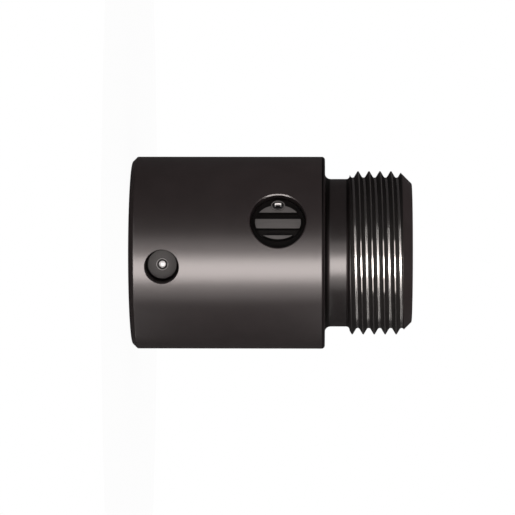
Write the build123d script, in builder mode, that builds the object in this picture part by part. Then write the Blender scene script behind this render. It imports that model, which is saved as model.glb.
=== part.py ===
from build123d import *
import math
import os

os.makedirs("parts", exist_ok=True)

# Ball screw nut, millimetres. The axis is Z, the plain end stands on z = 0 and the threaded end is up.

# Outside of the nut
body_d = 17.5  # ground outside diameter
body_l = 17.5  # plain end to shoulder
plain_chamfer = 0.45
neck_d = 13.45  # thread runout behind the shoulder
neck_l = 2.25
neck_relief = 0.4  # slope in the corners of the runout
thread_d = 15.0  # M15 x 1, shown at its major diameter
thread_l = 7.9  # shoulder to the threaded end's face
thread_chamfer = 1.2

# Ball raceway, right-hand
lead = 2.5
pitch_r = 4.1  # radius of the ball centres
ball_d = 1.984
groove_gap = 0.048  # groove radius less ball radius
groove_sides = 8  # flats round the groove's section
bore_d = 8.0  # land between the groove's turns
land_margin = 0.2  # land left outside the first and last circuits
balls_in_circuit = 12
ball_sides = 10  # flats round a ball
ball_corner = math.radians(22.5)  # latitude of a ball's corners from its equator and from its poles

# Return inserts, one to a circuit, spread evenly round the nut
circuits = 2
insert_angle = -118.0  # first insert, nearest the shoulder
insert_from_shoulder = 4.16
insert_d = 5.0  # counterbore in the nut
shank_d = 4.6  # hole through to the bore
seat_depth = 2.45  # from the body's outside down to the shelf that the insert's flange sits on
flange_depth = 1.35
boss_depth = 0.65
boss_half_l = 2.05  # along the nut's axis
boss_half_w = 1.64  # round the nut
slot_w = 0.58
slot_depth = 0.55
bar_w = 0.98  # between the two slots
pip_d = 1.3
pip_offset = 1.6
pip_depth = 0.55
pip_chamfer = 0.09
insert_clearance = 0.02
crossover_half_angle = 35.0  # degrees round the nut, middle to either end
crossover_run_in = 13.0  # degrees of plain helix before and after it
crossover_points = 9
crossover_lift = 0.7  # outward swing of the ball track at the insert's middle

# Ends of the bore, each closed by a plastic wiper ring
wiper_bore_d = 7.7
wiper_wall = 1.65  # wiping edge to the recess
wiper_l = 1.2
wiper_lip_l = 0.7  # length of the wiping edge
wiper_lip_slope = 0.6  # widening behind the wiping edge
wiper_set_back = 0.1  # from the end face
wiper_ledge = 0.3  # step that the wiper is pushed up to
wiper_clearance = 0.02

# Oil port with a ball oiler
port_angle = -90.0
port_d = 3.0
port_margin = 0.18  # metal between the port and the wiper's recess
oiler_depth = 1.65  # from the body's outside down to the oiler's face
oiler_l = 1.8
oiler_floor = 0.15
oiler_passage_d = 0.6  # through the floor into the nut
oiler_rim_chamfer = 0.19
oiler_lip = 0.15  # metal above the ball's seat
oiler_seat_d = 0.78
oiler_cavity_d = 1.1
oiler_ball_d = 1.0
oiler_travel = 0.25
oiler_clearance = 0.02
spring_d = 0.84  # outside
spring_wire = 0.1
spring_turns = 2
spring_corners = 8  # straight runs in one turn

# Places that follow from the sizes above
body_r = body_d / 2
thread_r = thread_d / 2
total_l = body_l + thread_l
groove_r = ball_d / 2 + groove_gap
circuit_step = lead * (1 + 1 / circuits)
insert_places = [
    (insert_angle - i * 360 / circuits, body_l - insert_from_shoulder - i * circuit_step)
    for i in range(circuits)
]
circuit_reach = lead / 2 + groove_r + land_margin
land_top = insert_places[0][1] + circuit_reach
land_bottom = insert_places[-1][1] - circuit_reach
seat_r = body_r - seat_depth
flange_top_r = body_r - flange_depth
boss_top_r = body_r - boss_depth
pip_top_r = body_r - pip_depth
wiper_recess_d = wiper_bore_d + 2 * wiper_wall
wiper_recess_l = wiper_set_back + wiper_l + wiper_clearance
relief_d = wiper_recess_d - 2 * wiper_ledge
port_z = wiper_recess_l + port_margin + port_d / 2
oiler_face_r = body_r - oiler_depth
oiler_end_r = oiler_face_r - oiler_l
oiler_floor_r = oiler_end_r + oiler_floor
oiler_seat_r = oiler_face_r - oiler_lip
seat_drop = math.sqrt(oiler_ball_d**2 - oiler_seat_d**2) / 2
oiler_ball_r = oiler_seat_r - seat_drop - oiler_clearance
spring_foot_r = oiler_floor_r + oiler_clearance + spring_wire / 2
spring_top_r = oiler_ball_r - oiler_ball_d / 2 - oiler_travel - oiler_clearance - spring_wire / 2


def radial_plane(angle, z, radius):
    """A plane that faces out of the nut, with its x along the nut's axis."""
    turn = math.radians(angle)
    out = Vector(math.cos(turn), math.sin(turn), 0)
    return Plane(origin=out * radius + Vector(0, 0, z), x_dir=(0, 0, 1), z_dir=out)


def ball_path(place, turn):
    """The ball track of one circuit, turn degrees past the middle of its return insert."""
    angle, z = place
    across = max(-1.0, min(1.0, turn / crossover_half_angle)) * math.pi / 2
    radius = pitch_r + crossover_lift * math.cos(across) ** 2
    height = z + lead * turn / 360 - lead / 2 * math.sin(across)
    spin = math.radians(angle + turn)
    return Vector(radius * math.cos(spin), radius * math.sin(spin), height)


# Nut body: turned, threaded outside, with a ball groove ground inside
with BuildPart() as nut_body:
    with BuildSketch(Plane.XZ):
        with BuildLine():
            Polyline(
                (body_r - plain_chamfer, 0),
                (body_r, plain_chamfer),
                (body_r, body_l),
                (neck_d / 2 + neck_relief, body_l),
                (neck_d / 2, body_l + neck_relief),
                (neck_d / 2, body_l + neck_l - neck_relief),
                (neck_d / 2 + neck_relief, body_l + neck_l),
                (thread_r, body_l + neck_l),
                (thread_r, total_l - thread_chamfer),
                (thread_r - thread_chamfer, total_l),
                (wiper_recess_d / 2, total_l),
                (wiper_recess_d / 2, total_l - wiper_recess_l),
                (relief_d / 2, total_l - wiper_recess_l),
                (relief_d / 2, land_top),
                (bore_d / 2, land_top),
                (bore_d / 2, land_bottom),
                (relief_d / 2, land_bottom),
                (relief_d / 2, wiper_recess_l),
                (wiper_recess_d / 2, wiper_recess_l),
                (wiper_recess_d / 2, 0),
                close=True,
            )
        make_face()
    revolve(axis=Axis.Z)

    # One ball groove, a helix on the pitch radius that runs out into the relief beyond both ends of the land
    groove_z = insert_places[0][1] + lead / 2 - lead * insert_angle / 360  # where a turn crosses the X axis
    groove_z -= lead * math.ceil((groove_z - land_bottom + groove_r) / lead)
    with BuildLine() as groove_line:
        Helix(lead, land_top + groove_r - groove_z, pitch_r, center=(0, 0, groove_z))
    with BuildSketch(Plane(groove_line.line @ 0, x_dir=(1, 0, 0), z_dir=groove_line.line % 0)):
        RegularPolygon(groove_r, groove_sides, major_radius=False, rotation=180 / groove_sides)
    sweep(path=groove_line.line, is_frenet=True, mode=Mode.SUBTRACT)

    # Stepped holes for the return inserts
    for angle, z in insert_places:
        with BuildSketch(radial_plane(angle, z, 0)):
            Circle(shank_d / 2)
        extrude(amount=body_r, mode=Mode.SUBTRACT)
        with BuildSketch(radial_plane(angle, z, seat_r)):
            Circle(insert_d / 2)
        extrude(amount=body_r, mode=Mode.SUBTRACT)

    # Oil port, drilled through into the relief
    with BuildSketch(radial_plane(port_angle, port_z, 0)):
        Circle(port_d / 2)
    extrude(amount=body_r, mode=Mode.SUBTRACT)

nut_body.part.label = "nut_body"
export_step(nut_body.part, "parts/nut_body.step")

# Return inserts: a flanged plug with a slotted boss and a pip outside, and the crossover groove inside
crossover_end = crossover_half_angle + crossover_run_in
crossover_step = 2 * crossover_end / (crossover_points - 1)
for i, place in enumerate(insert_places, start=1):
    with BuildPart() as return_insert:
        with BuildSketch(radial_plane(*place, 0)):
            Circle(shank_d / 2 - insert_clearance)
        extrude(amount=seat_r)
        with BuildSketch(radial_plane(*place, seat_r)):
            Circle(insert_d / 2 - insert_clearance)
        extrude(amount=flange_top_r - seat_r)
        with BuildSketch(radial_plane(*place, flange_top_r)):
            Ellipse(boss_half_l, boss_half_w)
        extrude(amount=boss_top_r - flange_top_r)
        with BuildSketch(radial_plane(*place, boss_top_r)):
            with GridLocations(0, bar_w + slot_w, 1, 2):
                Rectangle(insert_d, slot_w)
        extrude(amount=-slot_depth, mode=Mode.SUBTRACT)
        with BuildSketch(radial_plane(*place, flange_top_r)):
            with Locations((0, pip_offset)):
                Circle(pip_d / 2)
        extrude(amount=pip_top_r - flange_top_r)
        pip_top = return_insert.faces().sort_by(Axis((0, 0, 0), radial_plane(*place, 0).z_dir))[-1]
        chamfer(pip_top.edges(), pip_chamfer)

        # The inner end follows the bore, and the crossover carries the balls from one turn to the next
        Cylinder(bore_d / 2, 2 * total_l, mode=Mode.SUBTRACT)
        with BuildLine() as crossover_line:
            Polyline(*[ball_path(place, k * crossover_step - crossover_end) for k in range(crossover_points)])
        run_in = radial_plane(place[0] - crossover_end, 0, 0).z_dir
        with BuildSketch(Plane(crossover_line.line @ 0, x_dir=run_in, z_dir=crossover_line.line % 0)):
            RegularPolygon(groove_r, groove_sides, major_radius=False, rotation=180 / groove_sides)
        sweep(path=crossover_line.line, transition=Transition.RIGHT, mode=Mode.SUBTRACT)
    return_insert.part.label = f"return_insert_{i}"
    export_step(return_insert.part, f"parts/return_insert_{i}.step")

# Balls, evenly spread round each closed circuit, with their corners on the true sphere
ball_step = 360 / balls_in_circuit
ball_flat_r = ball_d / 2 * math.cos(ball_corner)
for i, place in enumerate(insert_places, start=1):
    for k in range(balls_in_circuit):
        with BuildPart() as ball:
            with BuildSketch(Plane(ball_path(place, (k + 0.5) * ball_step - 180))):
                RegularPolygon(ball_flat_r, ball_sides)
            extrude(amount=ball_flat_r, both=True)
            chamfer(ball.faces().filter_by(Axis.Z).edges(), ball_flat_r - ball_d / 2 * math.sin(ball_corner))
        ball.part.label = f"ball_{i}_{k + 1:02d}"
        export_step(ball.part, f"parts/ball_{i}_{k + 1:02d}.step")

# Wipers: plastic rings pressed into the recesses at both ends, each with a wiping edge towards its face
for label, face_z, inward in (("plain_end_wiper", 0, 1), ("thread_end_wiper", total_l, -1)):
    front_z = face_z + inward * wiper_set_back
    with BuildPart() as wiper:
        with BuildSketch(Plane.XZ):
            with BuildLine():
                Polyline(
                    (wiper_bore_d / 2, front_z),
                    (wiper_recess_d / 2 - wiper_clearance, front_z),
                    (wiper_recess_d / 2 - wiper_clearance, front_z + inward * wiper_l),
                    (wiper_bore_d / 2 + wiper_lip_slope, front_z + inward * wiper_l),
                    (wiper_bore_d / 2, front_z + inward * wiper_lip_l),
                    close=True,
                )
            make_face()
        revolve(axis=Axis.Z)
    wiper.part.label = label
    export_step(wiper.part, f"parts/{label}.step")

# Oiler body: pressed into the port, with a seat for the ball under its lip and a passage through its floor
with BuildPart() as oiler_body:
    with BuildSketch(radial_plane(port_angle, port_z, oiler_end_r)):
        Circle(port_d / 2 - oiler_clearance)
    extrude(amount=oiler_l)
    oiler_face = oiler_body.faces().sort_by(Axis((0, 0, 0), radial_plane(port_angle, 0, 0).z_dir))[-1]
    chamfer(oiler_face.edges(), oiler_rim_chamfer)
    for start_r, end_r, hole_d in (
        (oiler_end_r, oiler_floor_r, oiler_passage_d),
        (oiler_floor_r, oiler_seat_r, oiler_cavity_d),
        (oiler_seat_r, oiler_face_r, oiler_seat_d),
    ):
        with BuildSketch(radial_plane(port_angle, port_z, start_r)):
            Circle(hole_d / 2)
        extrude(amount=end_r - start_r, mode=Mode.SUBTRACT)
oiler_body.part.label = "oiler_body"
export_step(oiler_body.part, "parts/oiler_body.step")

# Oiler ball, held against its seat by the spring
with BuildPart() as oiler_ball:
    with Locations(radial_plane(port_angle, port_z, oiler_ball_r)):
        Sphere(oiler_ball_d / 2)
oiler_ball.part.label = "oiler_ball"
export_step(oiler_ball.part, "parts/oiler_ball.step")

# Oiler spring, shown at its pressed length
coil_r = (spring_d - spring_wire) / 2
spring_steps = spring_turns * spring_corners
spring_rise = (spring_top_r - spring_foot_r) / spring_steps
spring_points = [
    (
        coil_r * math.cos(2 * math.pi * k / spring_corners),
        coil_r * math.sin(2 * math.pi * k / spring_corners),
        k * spring_rise,
    )
    for k in range(spring_steps + 1)
]
with BuildPart() as oiler_spring:
    with BuildLine(radial_plane(port_angle, port_z, spring_foot_r)) as spring_line:
        Polyline(*spring_points)
    with BuildSketch(Plane(spring_line.line @ 0, z_dir=spring_line.line % 0)):
        Rectangle(spring_wire, spring_wire)
    sweep(path=spring_line.line, transition=Transition.RIGHT)
oiler_spring.part.label = "oiler_spring"
export_step(oiler_spring.part, "parts/oiler_spring.step")
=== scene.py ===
import math

import bmesh
import bpy
from mathutils import Matrix, Vector


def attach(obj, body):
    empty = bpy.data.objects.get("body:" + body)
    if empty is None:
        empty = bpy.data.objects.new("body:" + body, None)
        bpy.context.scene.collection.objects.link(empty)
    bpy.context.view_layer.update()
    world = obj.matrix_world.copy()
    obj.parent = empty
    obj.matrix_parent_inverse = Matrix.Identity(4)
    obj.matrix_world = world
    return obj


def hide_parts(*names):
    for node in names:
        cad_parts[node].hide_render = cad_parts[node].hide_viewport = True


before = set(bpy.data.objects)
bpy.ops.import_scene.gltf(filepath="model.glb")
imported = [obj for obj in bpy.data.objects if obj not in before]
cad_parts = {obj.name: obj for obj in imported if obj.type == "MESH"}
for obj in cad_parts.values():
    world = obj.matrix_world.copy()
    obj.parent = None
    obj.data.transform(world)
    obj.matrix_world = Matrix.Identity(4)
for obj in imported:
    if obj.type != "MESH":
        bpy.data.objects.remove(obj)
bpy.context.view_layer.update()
scene = bpy.context.scene
mm = 0.001  # pieces are drawn in millimetres and scaled once, when they are finished


# Shader maths

class Wire:  # one socket, usable in sums
    def __init__(self, finish, socket):
        self.finish = finish
        self.socket = socket

    def maths(self, operation, first, second):
        return self.finish.node("ShaderNodeMath", {"operation": operation}, {0: first, 1: second})

    def __add__(self, other):
        return self.maths("ADD", self, other)

    def __radd__(self, other):
        return self.maths("ADD", other, self)

    def __sub__(self, other):
        return self.maths("SUBTRACT", self, other)

    def __rsub__(self, other):
        return self.maths("SUBTRACT", other, self)

    def __mul__(self, other):
        return self.maths("MULTIPLY", self, other)

    def __rmul__(self, other):
        return self.maths("MULTIPLY", other, self)


class Finish:  # a node tree and the few helpers that the finishes share
    def __init__(self, tree):
        self.tree = tree
        tree.nodes.clear()

    def node(self, kind, settings=None, values=None, out=0):
        made = self.tree.nodes.new(kind)
        for key, value in (settings or {}).items():
            setattr(made, key, value)
        for key, value in (values or {}).items():
            if isinstance(value, Wire):
                self.tree.links.new(value.socket, made.inputs[key])
            else:
                made.inputs[key].default_value = value
        return Wire(self, made.outputs[out]) if made.outputs else None

    def place(self):  # millimetres in the row frame
        spot = self.node("ShaderNodeTexCoord", out="Object")
        return self.node("ShaderNodeVectorMath", {"operation": "SCALE"}, {0: spot, "Scale": 1 / mm})

    def stretch(self, spot, scales):
        return self.node("ShaderNodeVectorMath", {"operation": "MULTIPLY"}, {0: spot, 1: scales})

    def noise(self, spot, scale=1.0):
        return self.node("ShaderNodeTexNoise", None, {"Vector": spot, "Scale": scale, "Detail": 3.0})

    def length(self, spot):
        return self.node("ShaderNodeVectorMath", {"operation": "LENGTH"}, {0: spot}, out="Value")

    def along(self, spot, axis):
        return self.node("ShaderNodeVectorMath", {"operation": "DOT_PRODUCT"}, {0: spot, 1: axis}, out="Value")

    def step(self, value, low, high):  # 0 below low, 1 above high, smooth between
        return self.node("ShaderNodeMapRange", {"interpolation_type": "SMOOTHSTEP"},
                         {"Value": value, "From Min": low, "From Max": high})

    def band(self, value, low, high, rise, fall):  # 0 outside low to high, 1 inside once it has risen
        return self.step(value, low, low + rise) * (1 - self.step(value, high - fall, high))

    def vary(self, level, noise, spread):  # a level that swings with a noise
        return level + (noise - 0.5) * spread

    def blend(self, share, first, second):  # a colour mix's own sockets go by number
        return self.node("ShaderNodeMix", {"data_type": "RGBA"}, {0: share, 6: first, 7: second}, out=2)

    def bump(self, height, distance):
        return self.node("ShaderNodeBump", None, {"Height": height, "Strength": 1.0, "Distance": distance})

    def surface(self, values):
        shader = self.node("ShaderNodeBsdfPrincipled", None, values)
        self.node("ShaderNodeOutputMaterial", None, {"Surface": shader})


def newFinish(name):
    material = bpy.data.materials.new(name)
    material.use_nodes = True
    return material, Finish(material.node_tree)


# Modelling helpers, all in millimetres

modelling = {"softSteps": 4, "weld": 1e-5, "tubeWeld": 1e-4, "lastWeld": 2e-4, "creaseAngle": 30}


def radialMatrix(angle, z):  # x along the nut, y back round it, z outwards through the place
    turn = math.radians(angle)
    out = Vector((math.cos(turn), math.sin(turn), 0))
    back = Vector((math.sin(turn), -math.cos(turn), 0))
    return Matrix((
        (0, back.x, out.x, 0),
        (0, back.y, out.y, 0),
        (1, 0, 0, z),
        (0, 0, 0, 1),
    ))


def turnSection(section, segments):  # a closed section of (radius, height, rounding), spun round z
    bm = bmesh.new()
    corners = [bm.verts.new((radius, 0, height)) for radius, height, rounding in section]
    bm.faces.new(corners)
    for corner, (radius, height, rounding) in zip(corners, section):
        if rounding:
            bmesh.ops.bevel(bm, geom=[corner], offset=rounding, segments=modelling["softSteps"], profile=0.5,
                            affect="VERTICES", material=-1)
    bmesh.ops.delete(bm, geom=bm.faces[:], context="FACES_ONLY")
    bmesh.ops.spin(bm, geom=bm.verts[:] + bm.edges[:], cent=(0, 0, 0), axis=(0, 0, 1), angle=math.tau,
                   steps=segments, use_merge=True)
    bmesh.ops.remove_doubles(bm, verts=bm.verts[:], dist=modelling["weld"])
    bmesh.ops.dissolve_degenerate(bm, edges=bm.edges[:], dist=modelling["weld"])
    bmesh.ops.recalc_face_normals(bm, faces=bm.faces[:])
    return bm


def roundSection(middleRadius, middleHeight, radius, sides):  # a circle, as corners of (radius, height)
    ring = [math.tau * k / sides for k in range(sides)]
    return [(middleRadius + radius * math.cos(turn), middleHeight + radius * math.sin(turn)) for turn in ring]


def helixSection(section, lead, turns, stepsPerTurn):  # a closed section of (radius, height), run up a right-hand helix
    bm = bmesh.new()
    start = [bm.verts.new((radius, 0, height)) for radius, height in section]
    loop = [bm.edges.new((vert, start[i - 1])) for i, vert in enumerate(start)]
    bmesh.ops.spin(bm, geom=start + loop, cent=(0, 0, 0), axis=(0, 0, 1), dvec=(0, 0, lead / stepsPerTurn),
                   angle=math.tau * turns, steps=round(turns * stepsPerTurn))
    bmesh.ops.holes_fill(bm, edges=[edge for edge in bm.edges if edge.is_boundary], sides=0)
    bmesh.ops.recalc_face_normals(bm, faces=bm.faces[:])
    return bm


def newObject(name, bm):
    mesh = bpy.data.meshes.new(name)
    bm.to_mesh(mesh)
    bm.free()
    made = bpy.data.objects.new(name, mesh)
    scene.collection.objects.link(made)
    return made


def carve(target, tools, operation="DIFFERENCE"):  # tools are bmeshes, used up one after another
    helpers = [newObject(f"{target.name}Tool{i}", tool) for i, tool in enumerate(tools)]
    for helper in helpers:
        modifier = target.modifiers.new("carve", "BOOLEAN")
        modifier.operation, modifier.object, modifier.solver = operation, helper, "MANIFOLD"
    bpy.context.view_layer.update()
    carved = bpy.data.meshes.new_from_object(target.evaluated_get(bpy.context.evaluated_depsgraph_get()))
    target.modifiers.clear()
    old, target.data = target.data, carved
    bpy.data.meshes.remove(old)
    for helper in helpers:
        bpy.data.meshes.remove(helper.data)


def finishPiece(made, finishes, body, nodes, creaseAngle=modelling["creaseAngle"]):
    bm = bmesh.new()
    bm.from_mesh(made.data)
    bmesh.ops.remove_doubles(bm, verts=bm.verts[:], dist=modelling["lastWeld"])
    bmesh.ops.dissolve_degenerate(bm, edges=bm.edges[:], dist=modelling["lastWeld"])
    bmesh.ops.scale(bm, vec=(mm, mm, mm), verts=bm.verts[:])
    for face in bm.faces:
        face.smooth = True
    loose = sum(not edge.is_manifold for edge in bm.edges)
    bm.to_mesh(made.data)
    bm.free()
    made.data.set_sharp_from_angle(angle=math.radians(creaseAngle))
    made.data.materials.clear()
    for finish in finishes:
        made.data.materials.append(finish)
    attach(made, body)
    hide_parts(*nodes)
    triangles = sum(len(face.vertices) - 2 for face in made.data.polygons)
    print(f"{made.name}: {triangles} triangles, {loose} open edges")


# Nut body: blackened steel, ground outside, with an end thread and a ball groove

nutBody = {
    "segments": 320, "bodyRadius": 8.75, "length": 25.4, "creaseAngle": 24,
    "section": [  # radius, height, rounding
        (8.3, 0, 0.05), (8.75, 0.45, 0.06), (8.75, 17.5, 0.28), (6.725, 17.5, 0.5), (6.725, 19.75, 0.3),
        (7.44, 19.75, 0.03), (7.44, 24.26, 0.05), (6.3, 25.4, 0.06), (5.5, 25.4, 0.06), (5.5, 24.08, 0.04),
        (5.2, 24.08, 0.04), (5.2, 15.83, 0.08), (4, 15.83, 0.04), (4, 7.1, 0.04), (5.2, 7.1, 0.08),
        (5.2, 1.32, 0.04), (5.5, 1.32, 0.04), (5.5, 0, 0.06),
    ],
    "thread": {
        "pitch": 1.0, "start": 18.53, "turns": 8, "steps": 160,  # start is where the groove crosses the x axis
        "rootRadius": 6.86, "rootRound": 0.2, "rootSweep": 60, "rootSteps": 8,
        "flankTop": [(7.44, 0.457), (7.9, 0.457)],  # radius and half width, at the crest and clear of it
    },
    "ballGroove": {
        "trackRadius": 4.1, "radius": 1.04, "sides": 24, "start": 5.409, "lead": 2.5, "turns": 5, "steps": 96,
    },
    "insertHole": {
        "bottom": 3, "shankRadius": 2.3, "seat": 6.3, "radius": 2.5, "edgeBreak": (0.1, 0.095), "sides": 96,
    },
    "port": {"angle": -90, "z": 3.0, "bottom": 3, "radius": 1.5, "edgeBreak": (0.06, 0.06), "sides": 80},
    "drill": {"low": 1, "high": 0.5, "clear": 2},  # edge break's depths before it is bent to the body, and the free end
}
insertPlaces = [(-118, 13.34), (-298, 9.59)]  # angle and height of each return insert


def threadTool():  # the groove between two crests: a round root and straight flanks
    thread = nutBody["thread"]
    half = []
    for k in range(thread["rootSteps"]):
        turn = math.radians(thread["rootSweep"]) * (k + 0.5) / thread["rootSteps"]
        rise = thread["rootRound"] * (1 - math.cos(turn))
        half.append((thread["rootRadius"] + rise, thread["rootRound"] * math.sin(turn)))
    half += thread["flankTop"]
    lower = [(radius, thread["start"] - width) for radius, width in half]
    upper = [(radius, thread["start"] + width) for radius, width in reversed(half)]
    return helixSection(lower + upper, thread["pitch"], thread["turns"], thread["steps"])


def grooveTool():
    groove = nutBody["ballGroove"]
    section = roundSection(groove["trackRadius"], groove["start"], groove["radius"], groove["sides"])
    return helixSection(section, groove["lead"], groove["turns"], groove["steps"])


def holeTool(shaft, hole, place):  # a drill whose shoulder follows the round body as an edge break
    bodyRadius, drill, radius = nutBody["bodyRadius"], nutBody["drill"], hole["radius"]
    low, high, end = bodyRadius - drill["low"], bodyRadius - drill["high"], bodyRadius + drill["clear"]
    wide, deep = radius + hole["edgeBreak"][0], hole["edgeBreak"][1]
    section = shaft + [(radius, low), (wide, high), (wide, end), (0, end)]
    bm = turnSection([(r, h, 0) for r, h in section], hole["sides"])
    for vert in bm.verts:
        for height, onRadius in ((low, bodyRadius - deep), (high, bodyRadius)):
            if abs(vert.co.z - height) < modelling["weld"]:
                vert.co.z = math.sqrt(onRadius ** 2 - vert.co.y ** 2)
    bm.transform(radialMatrix(*place))
    return bm


def makeNutBody(finish):
    made = newObject("nutShell", turnSection(nutBody["section"], nutBody["segments"]))
    hole, port = nutBody["insertHole"], nutBody["port"]
    stepped = [(0, hole["bottom"]), (hole["shankRadius"], hole["bottom"]), (hole["shankRadius"], hole["seat"]),
               (hole["radius"], hole["seat"])]
    straight = [(0, port["bottom"]), (port["radius"], port["bottom"])]
    tools = [threadTool(), grooveTool()]
    tools += [holeTool(stepped, hole, place) for place in insertPlaces]
    tools.append(holeTool(straight, port, (port["angle"], port["z"])))
    carve(made, tools)
    finishPiece(made, [finish], "nut", ["nut_body"], nutBody["creaseAngle"])


# Return inserts: a flanged plug with a slotted oval boss, a polished pip and the crossover groove inside

returnInsert = {
    "shankRadius": 2.28, "flangeRadius": 2.48, "bottom": 3.2, "seat": 6.3, "flangeTop": 7.4, "flangeSoft": 0.06,
    "bossTop": 8.1, "bossFloor": 7.55, "bossHalf": (2.05, 1.62), "bossShift": 0.02, "bossSides": 96,
    "bossSoft": 0.02, "bossSoftSteps": 2, "overlap": 0.05,  # overlap joins the pieces of the insert
    "strips": [(-1.74, -1.23), (-0.57, 0.32), (0.93, 1.7)],  # the three lands that the slots leave, round the nut
    "pipHalf": (0.63, 0.48), "pipAt": 1.54, "pipTop": 8.2, "pipSides": 48,
    "dishHalf": (0.54, 0.4, 0.28), "dishRings": 24,
    "polishReach": 1.02, "polishPatch": 0.02,  # largest distance, in half pips, and area of a polished face
    "boreRadius": 4.0, "boreSides": 192, "boreLength": 60,
    "trackRadius": 4.1, "lift": 0.7, "grooveRadius": 1.04, "grooveResolution": 6, "lead": 2.5,
    "crossAngle": 35, "runIn": 13, "crossSteps": 32,
}


def ballPath(place, turn):  # the track of one circuit, turn degrees past the middle of its insert
    spec = returnInsert
    across = max(-1, min(1, turn / spec["crossAngle"])) * math.pi / 2
    radius = spec["trackRadius"] + spec["lift"] * math.cos(across) ** 2
    spin = math.radians(place[0] + turn)
    rise = spec["lead"] * turn / 360 - spec["lead"] / 2 * math.sin(across)
    return Vector((radius * math.cos(spin), radius * math.sin(spin), place[1] + rise))


def tubeAlong(points, radius, resolution):  # a capped round tube, made by a bevelled curve
    curve = bpy.data.curves.new("track", "CURVE")
    curve.dimensions, curve.use_fill_caps = "3D", True
    curve.bevel_depth, curve.bevel_resolution = radius, resolution
    spline = curve.splines.new("POLY")
    spline.points.add(len(points) - 1)
    for knot, point in zip(spline.points, points):
        knot.co = (*point, 1)
    holder = bpy.data.objects.new("track", curve)
    bm = bmesh.new()
    bm.from_mesh(bpy.data.meshes.new_from_object(holder))
    bpy.data.curves.remove(curve)
    bmesh.ops.remove_doubles(bm, verts=bm.verts[:], dist=modelling["tubeWeld"])
    bmesh.ops.recalc_face_normals(bm, faces=bm.faces[:])
    return bm


def bossStrip(low, high, floor, top):  # the oval boss between two lines along the nut, with a soft top edge
    spec = returnInsert
    bm = bmesh.new()
    bmesh.ops.create_circle(bm, cap_ends=True, radius=1, segments=spec["bossSides"])
    bmesh.ops.scale(bm, vec=(*spec["bossHalf"], 1), verts=bm.verts[:])
    bmesh.ops.translate(bm, vec=(0, spec["bossShift"], 0), verts=bm.verts[:])
    for edge, outward in ((low, (0, -1, 0)), (high, (0, 1, 0))):
        bmesh.ops.bisect_plane(bm, geom=bm.verts[:] + bm.edges[:] + bm.faces[:], plane_co=(0, edge, 0),
                               plane_no=outward, clear_outer=True)
    raised = bmesh.ops.extrude_face_region(bm, geom=bm.faces[:])["geom"]
    upper = [part for part in raised if isinstance(part, bmesh.types.BMVert)]
    bmesh.ops.translate(bm, vec=(0, 0, top - floor), verts=upper)
    bmesh.ops.translate(bm, vec=(0, 0, floor), verts=bm.verts[:])
    bmesh.ops.recalc_face_normals(bm, faces=bm.faces[:])
    rim = [edge for edge in bm.edges if all(vert in upper for vert in edge.verts) and len(edge.link_faces) == 2]
    bmesh.ops.bevel(bm, geom=rim, offset=spec["bossSoft"], segments=spec["bossSoftSteps"], profile=0.5,
                    affect="EDGES", material=-1)
    return bm


def pipTools():  # an oval post, and the dish that hollows its top
    spec = returnInsert
    height = spec["pipTop"] - spec["flangeTop"] + spec["overlap"]
    post = bmesh.new()
    bmesh.ops.create_cone(post, cap_ends=True, segments=spec["pipSides"], radius1=1, radius2=1, depth=1)
    bmesh.ops.scale(post, vec=(*spec["pipHalf"], height), verts=post.verts[:])
    bmesh.ops.translate(post, vec=(0, spec["pipAt"], spec["pipTop"] - height / 2), verts=post.verts[:])
    dish = bmesh.new()
    bmesh.ops.create_uvsphere(dish, u_segments=spec["pipSides"], v_segments=spec["dishRings"], radius=1)
    bmesh.ops.scale(dish, vec=spec["dishHalf"], verts=dish.verts[:])
    bmesh.ops.translate(dish, vec=(0, spec["pipAt"], spec["pipTop"]), verts=dish.verts[:])
    return post, dish


def innerTools(place):  # the bore that the insert's inner end follows, and the crossover groove
    spec = returnInsert
    bore = bmesh.new()
    bmesh.ops.create_cone(bore, cap_ends=True, segments=spec["boreSides"], radius1=spec["boreRadius"],
                          radius2=spec["boreRadius"], depth=spec["boreLength"])
    reach = spec["crossAngle"] + spec["runIn"]
    points = [ballPath(place, reach * (2 * k / spec["crossSteps"] - 1)) for k in range(spec["crossSteps"] + 1)]
    return [bore, tubeAlong(points, spec["grooveRadius"], spec["grooveResolution"])]


def polishPip(made, place):  # the pip's small faces take the second finish
    spec = returnInsert
    inward = radialMatrix(*place).inverted()
    for face in made.data.polygons:
        spot = inward @ (face.center / mm)
        offPip = Vector((spot.x / spec["pipHalf"][0], (spot.y - spec["pipAt"]) / spec["pipHalf"][1]))
        onPip = spot.z > spec["flangeTop"] + spec["overlap"] and offPip.length < spec["polishReach"]
        if onPip and face.area < spec["polishPatch"] * mm ** 2:
            face.material_index = 1


def makeInsert(index, place, finishes):
    spec = returnInsert
    plug = [
        (0, spec["bottom"], 0), (spec["shankRadius"], spec["bottom"], 0), (spec["shankRadius"], spec["seat"], 0),
        (spec["flangeRadius"], spec["seat"], 0), (spec["flangeRadius"], spec["flangeTop"], spec["flangeSoft"]),
        (0, spec["flangeTop"], 0),
    ]
    made = newObject(f"returnInsert{index}", turnSection(plug, spec["bossSides"]))
    beyond, overlap = 2 * spec["bossHalf"][1], spec["overlap"]
    adds = [bossStrip(-beyond, beyond, spec["flangeTop"] - overlap, spec["bossFloor"])]  # under the lands
    adds += [bossStrip(low, high, spec["bossFloor"] - overlap, spec["bossTop"]) for low, high in spec["strips"]]
    post, dish = pipTools()
    carve(made, adds + [post], "UNION")
    carve(made, [dish])
    made.data.transform(radialMatrix(*place))
    carve(made, innerTools(place))
    finishPiece(made, finishes, "nut", [f"return_insert_{index}"])
    polishPip(made, place)


# Balls, wipers and the oiler

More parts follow.
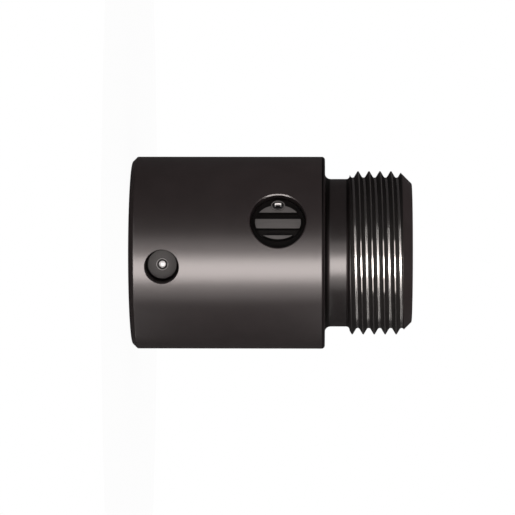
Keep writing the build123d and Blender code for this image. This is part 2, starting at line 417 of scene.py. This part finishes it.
balls = {"radius": 0.992, "inCircuit": 12, "subdivisions": 4}
wiper = {
    "segments": 192,
    "section": [  # radius, depth behind the end face, rounding
        (3.85, 0.1, 0.05), (5.48, 0.1, 0.06), (5.48, 1.3, 0.04), (4.45, 1.3, 0.05), (3.85, 0.8, 0.05),
    ],
}
oiler = {
    "segments": 96,
    "section": [  # radius, distance from the nut's axis, rounding
        (0.3, 5.3, 0), (1.48, 5.3, 0.04), (1.48, 6.91, 0.03), (1.29, 7.1, 0.03), (0.5, 7.1, 0.02),
        (0.39, 7.0, 0.02), (0.39, 6.95, 0), (0.55, 6.95, 0.04), (0.55, 5.45, 0.03), (0.3, 5.45, 0),
    ],
    "ballAt": 6.617, "ballRadius": 0.5, "ballSubdivisions": 5,
    "springFoot": 5.52, "springTop": 5.797, "springRadius": 0.37, "springTurns": 2, "springSteps": 48,
    "wireRadius": 0.05, "wireSides": 12,
}


def makeBalls(index, place, finish):
    bm = bmesh.new()
    for k in range(balls["inCircuit"]):
        turn = (k + 0.5) * 360 / balls["inCircuit"] - 180
        bmesh.ops.create_icosphere(bm, subdivisions=balls["subdivisions"], radius=balls["radius"],
                                   matrix=Matrix.Translation(ballPath(place, turn)))
    names = [f"ball_{index}_{k + 1:02d}" for k in range(balls["inCircuit"])]
    finishPiece(newObject(f"ballCircuit{index}", bm), [finish], "nut", names)


def makeWiper(name, node, endFace, inward, finish):
    section = [(radius, endFace + inward * depth, rounding) for radius, depth, rounding in wiper["section"]]
    made = newObject(name, turnSection(section, wiper["segments"]))
    finishPiece(made, [finish], "nut", [node])


def makeOiler(cupLook, ballLook, wireLook):
    port = radialMatrix(nutBody["port"]["angle"], nutBody["port"]["z"])
    cup = turnSection(oiler["section"], oiler["segments"])
    cup.transform(port)
    finishPiece(newObject("oilerCup", cup), [cupLook], "nut", ["oiler_body"])
    ball = bmesh.new()
    bmesh.ops.create_icosphere(ball, subdivisions=oiler["ballSubdivisions"], radius=oiler["ballRadius"],
                               matrix=Matrix.Translation((0, 0, oiler["ballAt"])))
    ball.transform(port)
    finishPiece(newObject("oilerBall", ball), [ballLook], "oiler_ball", ["oiler_ball"])
    wire = roundSection(oiler["springRadius"], oiler["springFoot"], oiler["wireRadius"], oiler["wireSides"])
    lead = (oiler["springTop"] - oiler["springFoot"]) / oiler["springTurns"]
    spring = helixSection(wire, lead, oiler["springTurns"], oiler["springSteps"])
    spring.transform(port)
    finishPiece(newObject("oilerSpring", spring), [wireLook], "nut", ["oiler_spring"])


# Finishes: lengths in millimetres, a bump's in metres

blackOxide = {
    "colour": (0.0215, 0.0152, 0.0152, 1), "mottle": (0.0245, 0.0176, 0.0176, 1), "mottleScale": 0.4,
    "mottleRange": (0.3, 0.7), "grainScale": 9.0, "ringStretch": (0.25, 0.25, 14.0),
    "roughness": 0.3, "spread": 0.02, "specular": 0.8, "bump": 0.000001,
    "thread": (19.7, 24.55), "threadSoft": 0.1,  # lowest and highest point of the thread's looks
    # the flank colour is painted shade in the thread's grooves and corners; the neck takes half of it as a darker tone
    "flank": (0.009, 0.0066, 0.0066, 1), "flankRoughness": 0.2, "flankMetal": 0.35,
    "crest": (0.66, 0.64, 0.62, 1), "crestRoughness": -0.16, "crestRadius": 7.43, "crestFrom": 20.25, "crestSoft": 0.05,
    "root": (0.47, 0.46, 0.45, 1), "rootRoughness": -0.08, "rootRadius": 6.885, "radiusSoft": 0.007,
    "neck": (17.52, 19.75), "neckDarkening": 0.5, "neckRoughness": -0.02,
    "corners": [(17.22, 17.52), (17.53, 18.05), (19.42, 19.8)],  # the shoulder's edge and the neck's two corners, which get painted shade
    "cornerMetal": 0.9, "bandRise": 0.04, "bandFall": 0.2,
}
insertSteel = {
    "ground": (0.082, 0.077, 0.075, 1), "groundLines": (0.108, 0.101, 0.098, 1), "lineStretch": (12.0, 12.0, 0.6),
    "dark": (0.0028, 0.002, 0.0018, 1), "faceFrom": 8.05, "faceSoft": 0.02, "grainScale": 10.0,
    "roughness": 0.6, "spread": 0.1, "specular": 0.12, "bump": 0.000003,
}
pipSteel = {
    "colour": (0.15, 0.15, 0.15, 1), "haze": (0.11, 0.11, 0.11, 1), "hazeStretch": (6.0, 6.0, 6.0),
    "roughness": 0.14, "spread": 0.05, "bump": 0.000003,
}
ballSteel = {
    "colour": (0.70, 0.69, 0.68, 1), "haze": (0.78, 0.78, 0.78, 1), "hazeStretch": (7.0, 7.0, 7.0),
    "roughness": 0.12, "spread": 0.06, "bump": 0.000001,
}
springWire = {
    "colour": (0.36, 0.36, 0.37, 1), "haze": (0.5, 0.5, 0.51, 1), "hazeStretch": (20.0, 4.0, 20.0),
    "roughness": 0.3, "spread": 0.12, "bump": 0.000003,
}
oilerBallSteel = {
    # the bright colour is a painted highlight on the ball's cap, the dark one painted shade round it
    "paintedHighlight": (0.96, 0.95, 0.945, 1), "paintedShade": (0.03, 0.027, 0.026, 1), "capRadius": 0.305, "capSoft": 0.015,
    "hazeScale": 9.0, "roughness": 0.52, "spread": 0.08, "metallic": 0.2, "bump": 0.000001,
}
wiperPlastic = {
    "colour": (0.022, 0.022, 0.023, 1), "cloud": (0.034, 0.034, 0.035, 1), "cloudScale": 0.8, "grainScale": 12.0,
    "roughness": 0.5, "spread": 0.2, "bump": 0.000008,
}
cupSteel = {
    "colour": (0.055, 0.052, 0.051, 1), "grain": (0.082, 0.078, 0.076, 1), "grainScale": 11.0,
    # edge is a painted highlight on the lip round the ball; rim is painted shade on the chamfer and sides
    "edge": (0.5, 0.48, 0.47, 1), "highlightRadius": 0.5, "highlightWide": 0.05,
    "rim": (0.005, 0.004, 0.004, 1), "shadeRadius": 1.28, "shadeSoft": 0.01,
    "roughness": 0.62, "spread": 0.14, "specular": 0.2, "bump": 0.000004,
}


def oxideFinish():  # painted shade on the thread's flanks, the shoulder's edge and the neck's corners, a darker neck, bright on the thread's crests and roots
    look = blackOxide
    material, f = newFinish("blackOxide")
    spot = f.place()
    fromAxis = f.length(f.stretch(spot, (1, 1, 0)))
    height = f.along(spot, (0, 0, 1))
    inThread = f.band(height, *look["thread"], look["threadSoft"], look["threadSoft"])
    crest = inThread * f.step(fromAxis, look["crestRadius"] - look["radiusSoft"], look["crestRadius"])
    crest = crest * f.step(height, look["crestFrom"] - look["crestSoft"], look["crestFrom"])
    root = inThread * (1 - f.step(fromAxis, look["rootRadius"] - look["radiusSoft"], look["rootRadius"]))
    flank = inThread - crest - root
    neck, shoulderEdge, lowCorner, highCorner = [
        f.band(height, *ends, look["bandRise"], look["bandFall"]) for ends in (look["neck"], *look["corners"])]
    onNeck = neck - lowCorner - highCorner
    corner = shoulderEdge + lowCorner + highCorner
    grain = f.noise(spot, look["grainScale"])
    mottle = f.step(f.noise(spot, look["mottleScale"]), *look["mottleRange"])
    rings = f.noise(f.stretch(spot, look["ringStretch"]))  # grinding lines round the body
    colour = f.blend(mottle, look["colour"], look["mottle"])
    # painted shade over the thread's flanks, the shoulder's edge and the neck's corners, and a darker neck
    colour = f.blend(inThread + corner + onNeck * look["neckDarkening"], colour, look["flank"])
    colour = f.blend(root, f.blend(crest, colour, look["crest"]), look["root"])
    roughness = f.vary(f.vary(look["roughness"], grain, look["spread"]), rings, look["spread"])
    roughness += (flank + corner) * look["flankRoughness"] + crest * look["crestRoughness"]
    roughness += root * look["rootRoughness"] + onNeck * look["neckRoughness"]
    f.surface({
        "Base Color": colour, "Roughness": roughness, "Specular IOR Level": look["specular"],
        "Metallic": crest + root + flank * look["flankMetal"] + corner * look["cornerMetal"],
        "Normal": f.bump(grain * 0.5 + rings * 0.5, look["bump"]),
    })
    return material


def insertFinish():  # ground lands, dark slots and flange
    look = insertSteel
    material, f = newFinish("insertSteel")
    spot = f.place()
    outward = radialMatrix(*insertPlaces[0]).to_3x3().col[2]  # both inserts face out along this line
    depth = f.node("ShaderNodeMath", {"operation": "ABSOLUTE"}, {0: f.along(spot, outward)})
    face = f.step(depth, look["faceFrom"] - look["faceSoft"], look["faceFrom"] + look["faceSoft"])
    lines = f.noise(f.stretch(spot, look["lineStretch"]))
    grain = f.noise(spot, look["grainScale"])
    f.surface({
        "Base Color": f.blend(face, look["dark"], f.blend(lines, look["ground"], look["groundLines"])),
        "Roughness": f.vary(look["roughness"], grain, look["spread"]), "Metallic": 0.0,
        "Specular IOR Level": look["specular"], "Normal": f.bump(lines * 0.5 + grain * 0.5, look["bump"]),
    })
    return material


def metalFinish(name, look):  # bare metal with a little haze
    material, f = newFinish(name)
    haze = f.noise(f.stretch(f.place(), look["hazeStretch"]))
    f.surface({
        "Base Color": f.blend(haze, look["colour"], look["haze"]), "Metallic": 1.0,
        "Roughness": f.vary(look["roughness"], haze, look["spread"]), "Normal": f.bump(haze, look["bump"]),
    })
    return material


def fromPort(f, spot):  # distance from the oil port's axis, which runs along y
    middle = (0, 0, nutBody["port"]["z"])
    flat = f.stretch(spot, (1, 0, 1))
    return f.length(f.node("ShaderNodeVectorMath", {"operation": "SUBTRACT"}, {0: flat, 1: middle}))


def oilerBallFinish():  # a painted highlight as a bright cap on the port's axis, with painted shade round it
    look = oilerBallSteel
    material, f = newFinish("oilerBallSteel")
    spot = f.place()
    # painted shade outside the cap, painted highlight within it
    paintedShade = f.step(fromPort(f, spot), look["capRadius"] - look["capSoft"], look["capRadius"] + look["capSoft"])
    haze = f.noise(spot, look["hazeScale"])
    f.surface({
        "Base Color": f.blend(paintedShade, look["paintedHighlight"], look["paintedShade"]), "Metallic": look["metallic"],
        "Roughness": f.vary(look["roughness"], haze, look["spread"]), "Normal": f.bump(haze, look["bump"]),
    })
    return material


def wiperFinish():
    look = wiperPlastic
    material, f = newFinish("wiperPlastic")
    spot = f.place()
    grain = f.noise(spot, look["grainScale"])
    cloud = f.noise(spot, look["cloudScale"])
    f.surface({
        "Base Color": f.blend(cloud, look["colour"], look["cloud"]), "Metallic": 0.0,
        "Roughness": f.vary(look["roughness"], grain, look["spread"]), "Normal": f.bump(grain, look["bump"]),
    })
    return material


def cupFinish():  # blackened, with a painted highlight on the lip round the ball and painted shade on the chamfer and sides
    look = cupSteel
    material, f = newFinish("oilerSteel")
    spot = f.place()
    offAxis = fromPort(f, spot)
    wide = look["highlightWide"]
    # painted highlight on the lip, then painted shade on the cup's chamfer and sides
    edge = f.band(offAxis, look["highlightRadius"] - wide, look["highlightRadius"] + wide, wide, wide)
    rim = f.step(offAxis, look["shadeRadius"] - look["shadeSoft"], look["shadeRadius"] + look["shadeSoft"])
    grain = f.noise(spot, look["grainScale"])
    colour = f.blend(edge, f.blend(grain, look["colour"], look["grain"]), look["edge"])
    f.surface({
        "Base Color": f.blend(rim, colour, look["rim"]), "Metallic": 0.0, "Specular IOR Level": look["specular"],
        "Roughness": f.vary(look["roughness"], grain, look["spread"]), "Normal": f.bump(grain, look["bump"]),
    })
    return material


steel = metalFinish("ballSteel", ballSteel)
plastic = wiperFinish()
insertLooks = [insertFinish(), metalFinish("pipBlack", pipSteel)]
print("finishes ready")
makeNutBody(oxideFinish())
for index, place in enumerate(insertPlaces, start=1):
    makeInsert(index, place, insertLooks)
    makeBalls(index, place, steel)
makeWiper("plainEndWiper", "plain_end_wiper", 0, 1, plastic)
makeWiper("threadEndWiper", "thread_end_wiper", nutBody["length"], -1, plastic)
makeOiler(cupFinish(), oilerBallFinish(), metalFinish("springSteel", springWire))
print("pieces ready")


# Studio, in metres: a small white plinth, a white surround, a dim tent for the gloss, softboxes and fill light

surround = {"white": (1, 1, 1, 1), "roomLight": (0.8, 0.775, 0.775, 1)}
plinth = {"radius": 0.045, "sides": 128, "drop": 0.00002, "glow": 0.95, "paint": (0.6, 0.6, 0.6, 1)}
tent = {"radius": 0.6, "segments": 24, "rings": 12, "cloth": (0.055, 0.051, 0.051, 1)}
lampMiddle = Vector((0, 0, 0.0114))  # what the lamps point at
lamps = [
    {"name": "stripSoftbox", "angle": -78.5, "reach": 0.35, "rise": 0, "size": (0.16, 0.5), "power": 2.06,
     "colour": (1, 0.915, 0.885), "diffuse": False, "gloss": True},
    {"name": "stripSpill", "angle": -78.5, "reach": 0.36, "rise": 0, "size": (0.53, 0.5), "power": 0.96,
     "colour": (1, 0.93, 0.905), "diffuse": False, "gloss": True},
    {"name": "fill", "angle": -105, "reach": 0.4, "rise": 0.05, "size": (0.4, 0.4), "power": 0.4,
     "colour": (1, 0.98, 0.97), "diffuse": True, "gloss": False},
    {"name": "overhead", "angle": 45, "reach": 0.07, "rise": 0.35, "size": (0.25, 0.25), "power": 0.35,
     "colour": (1, 1, 1), "diffuse": True, "gloss": False},
]
rootSoftbox = {  # shines into the thread's roots, from above and below
    "name": "rootSoftbox", "size": (0.36, 0.075), "colour": (1, 0.97, 0.95), "diffuse": False, "gloss": True,
}
rootPlaces = [  # angle, reach, rise, power
    (-108.5, 0.3, 0.18, 0.17), (-54.5, 0.3, 0.18, 0.17), (-0.5, 0.333, 0.108, 0.08),
]
for angle, reach, rise, power in rootPlaces:
    for side in (1, -1):
        lamps.append({**rootSoftbox, "angle": angle, "reach": reach, "rise": side * rise, "power": power})


def seenRays(f):  # 1 for what the camera sees, straight or by gloss or glass
    camera, gloss, glass = [
        f.node("ShaderNodeLightPath", out=f"Is {ray} Ray") for ray in ("Camera", "Glossy", "Transmission")]
    return camera + gloss + glass


def makePlinth():
    bm = bmesh.new()
    bmesh.ops.create_circle(bm, cap_ends=True, radius=plinth["radius"], segments=plinth["sides"])
    bmesh.ops.translate(bm, vec=(0, 0, -plinth["drop"]), verts=bm.verts[:])
    made = newObject("plinth", bm)
    material, f = newFinish("plinthPaint")
    paint = f.node("ShaderNodeBsdfDiffuse", None, {"Color": plinth["paint"]})
    glow = f.node("ShaderNodeEmission", None, {"Color": surround["white"]})
    both = f.node("ShaderNodeMixShader", None, {0: seenRays(f) * plinth["glow"], 1: paint, 2: glow})
    f.node("ShaderNodeOutputMaterial", None, {"Surface": both})
    made.data.materials.append(material)
    made.visible_shadow, made.visible_glossy = False, False  # lamps reach past it, and the steel doesn't mirror it


def makeTent():  # dim cloth round the set, which only the gloss meets
    bm = bmesh.new()
    bmesh.ops.create_uvsphere(bm, u_segments=tent["segments"], v_segments=tent["rings"], radius=tent["radius"])
    made = newObject("tent", bm)
    material, f = newFinish("tentCloth")
    glow = f.node("ShaderNodeEmission", None, {"Color": tent["cloth"]})
    f.node("ShaderNodeOutputMaterial", None, {"Surface": glow})
    made.data.materials.append(material)
    made.visible_camera, made.visible_transmission = False, False
    made.visible_diffuse, made.visible_shadow = False, False


def makeSurround():  # white where it is seen, soft light for the surfaces
    world = bpy.data.worlds.new("surround")
    world.use_nodes = True
    scene.world = world
    f = Finish(world.node_tree)
    colour = f.blend(seenRays(f), surround["roomLight"], surround["white"])
    sky = f.node("ShaderNodeBackground", None, {"Color": colour})
    f.node("ShaderNodeOutputWorld", None, {"Surface": sky})


def addLamp(spec):
    light = bpy.data.lights.new(spec["name"], "AREA")
    light.shape, light.size, light.size_y = "RECTANGLE", *spec["size"]
    light.energy, light.color = spec["power"], spec["colour"]
    lamp = bpy.data.objects.new(spec["name"], light)
    scene.collection.objects.link(lamp)
    turn = math.radians(spec["angle"])
    away = Vector((spec["reach"] * math.cos(turn), spec["reach"] * math.sin(turn), spec["rise"]))
    lamp.location = lampMiddle + away
    lamp.rotation_euler = (-away).to_track_quat("-Z", "Y").to_euler()
    lamp.visible_camera, lamp.visible_diffuse, lamp.visible_glossy = False, spec["diffuse"], spec["gloss"]


# Camera: the nut lies across the picture, so the camera is rolled a quarter turn

view = {
    "angle": -98.5, "raise": 1.25, "roll": 0.06, "distance": 0.33, "lens": 252.8, "sensor": 36, "clipStart": 0.01,
    "aim": (0.011354, 0.00044),  # up the axis, and down the picture
}


def makeCamera():
    turn, lift = math.radians(view["angle"]), math.radians(view["raise"])
    back = Vector((math.cos(turn) * math.cos(lift), math.sin(turn) * math.cos(lift), math.sin(lift)))
    up = Vector((math.sin(turn), -math.cos(turn), 0))
    aim = Vector((0, 0, view["aim"][0])) - up * view["aim"][1]
    up = Matrix.Rotation(math.radians(view["roll"]), 3, back) @ up
    right = up.cross(back)
    data = bpy.data.cameras.new("camera")
    data.lens, data.sensor_width, data.clip_start = view["lens"], view["sensor"], view["clipStart"]
    camera = bpy.data.objects.new("camera", data)
    scene.collection.objects.link(camera)
    spot = aim + back * view["distance"]
    camera.matrix_world = Matrix((
        (right.x, up.x, back.x, spot.x),
        (right.y, up.y, back.y, spot.y),
        (right.z, up.z, back.z, spot.z),
        (0, 0, 0, 1),
    ))
    scene.camera = camera


makePlinth()
makeTent()
makeSurround()
for lamp in lamps:
    addLamp(lamp)
makeCamera()
scene.view_settings.view_transform = "Standard"
print("studio ready")
